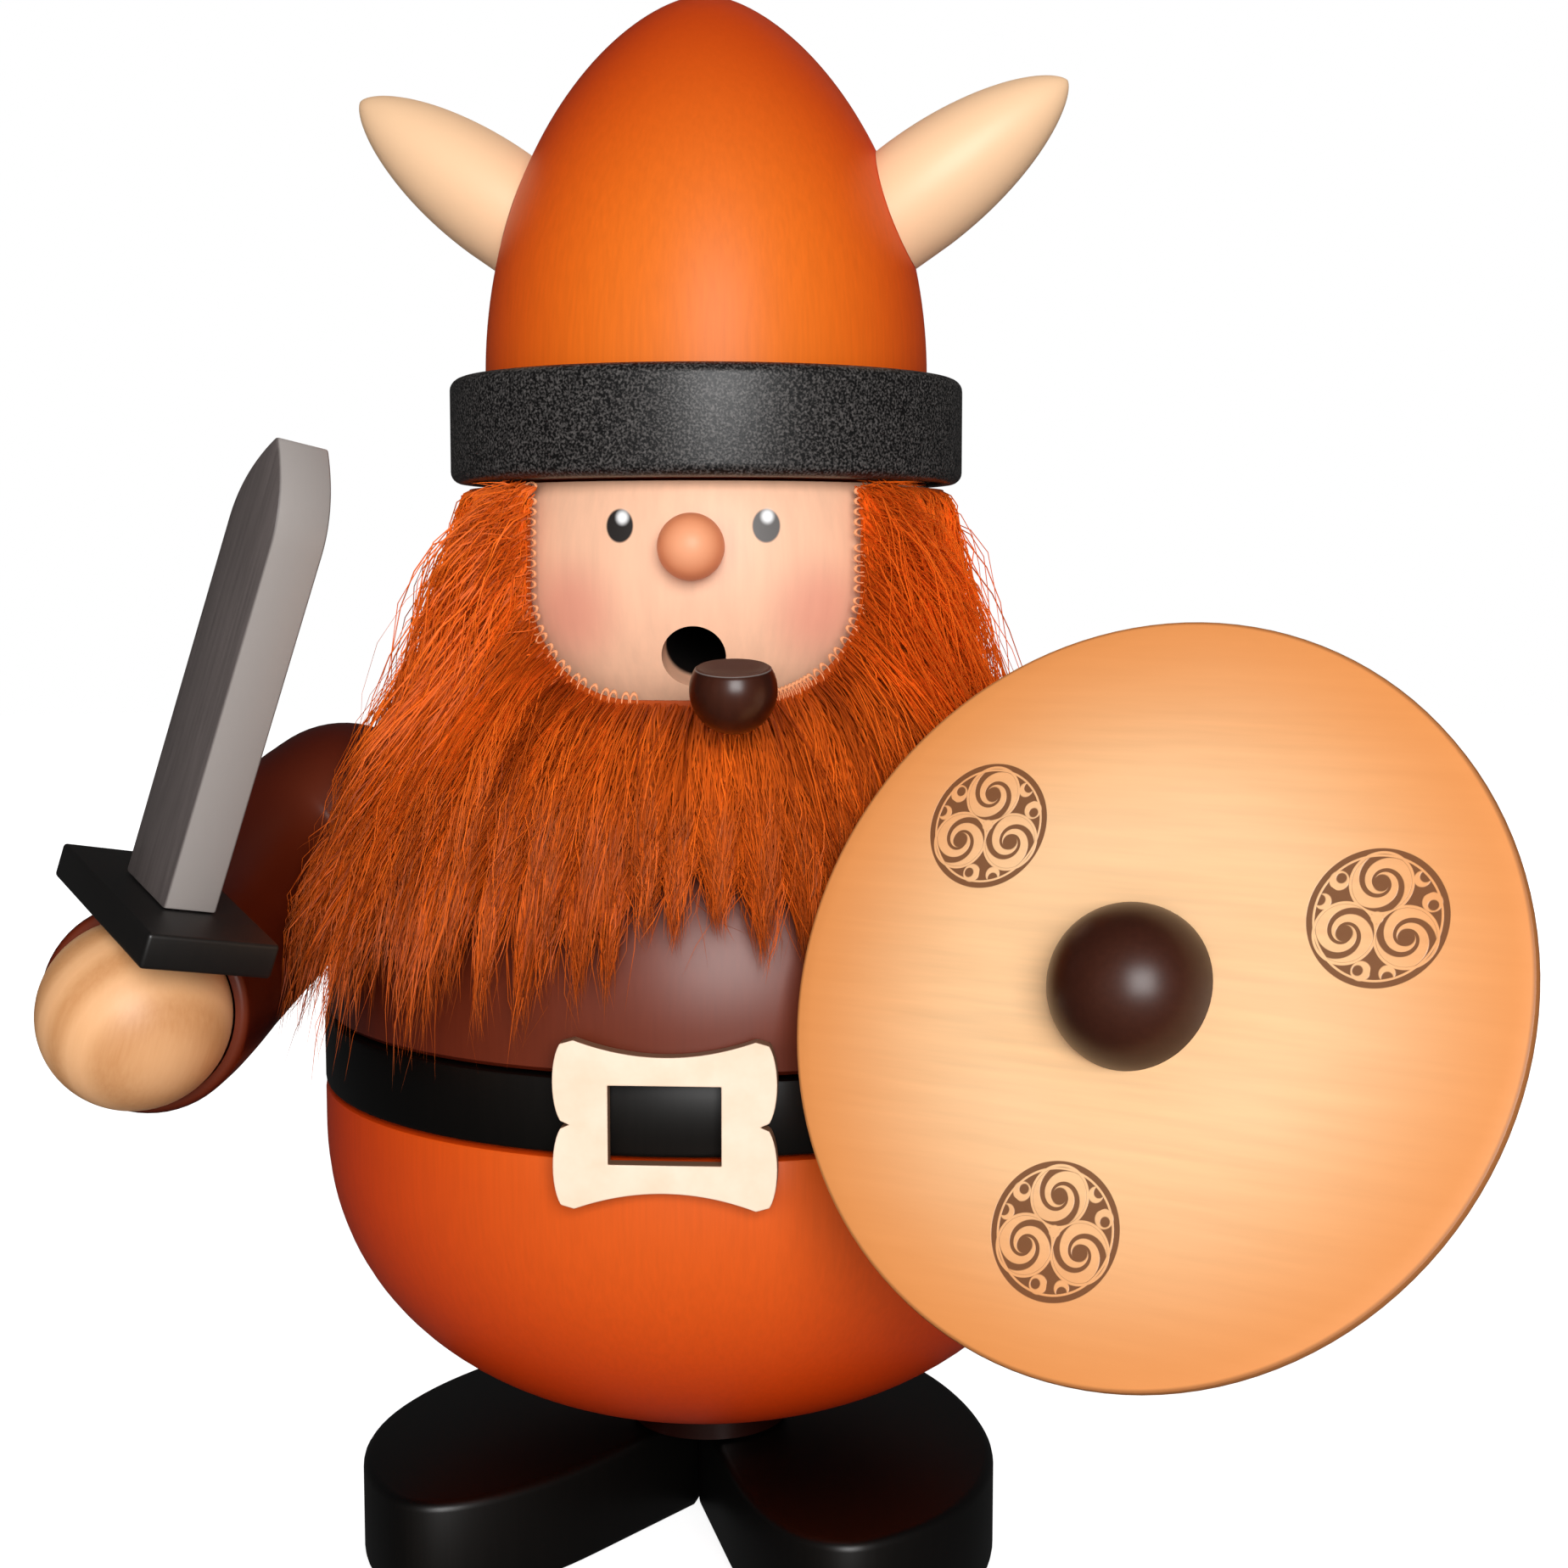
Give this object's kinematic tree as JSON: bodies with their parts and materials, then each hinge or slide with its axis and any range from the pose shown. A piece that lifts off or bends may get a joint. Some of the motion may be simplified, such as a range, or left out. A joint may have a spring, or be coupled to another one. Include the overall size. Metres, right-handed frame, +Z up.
{
  "type": "incense_smoker_figure",
  "caption": "Turned wooden incense smoker shaped as a round viking with horned helmet, fur beard, pipe, sword and round shield",
  "frame": {"origin": "middle of the whole figure's outline seen from above, on the ground under the shoe soles", "axes": "+Z up through the turned body, -Y to the front of the figure, +X to the figure's left, the shield side"},
  "size_m": [0.1252, 0.1168, 0.1614],
  "materials": {
    "black_satin_stain": "black stain under satin lacquer",
    "orange_stained_wood": "orange stain under satin lacquer",
    "brown_stained_wood": "red brown stain under satin lacquer",
    "pale_maple": "pale wood under matt lacquer",
    "peach_lacquered_wood": "peach stain under satin lacquer",
    "honey_stained_wood": "honey stain under satin lacquer",
    "dark_brown_lacquer": "dark brown gloss lacquer",
    "speckled_black_paint": "black paint with fine pale speckles",
    "pale_plywood": "bare plywood with dark cut edges",
    "rust_fur": "long pile fur, rust orange",
    "grey_painted_wood": "grey stain under matt lacquer"
  },
  "bodies": {
    "root": {"left_shoe": "black_satin_stain", "right_shoe": "black_satin_stain", "lower_body": "orange_stained_wood", "belt": "black_satin_stain", "buckle": "pale_plywood", "upper_body": "brown_stained_wood", "head": "pale_maple", "nose": "peach_lacquered_wood", "pipe": "dark_brown_lacquer", "hair_and_beard": "rust_fur", "helmet": "orange_stained_wood", "helmet_band": "speckled_black_paint", "horn_left": "pale_maple", "horn_right": "pale_maple", "arm_left": "brown_stained_wood", "arm_right": "brown_stained_wood", "hand_left": "pale_maple", "hand_right": "pale_maple", "sword_blade": "grey_painted_wood", "sword_guard": "black_satin_stain", "shield": "honey_stained_wood", "shield_boss": "dark_brown_lacquer"}
  },
  "joints": []
}
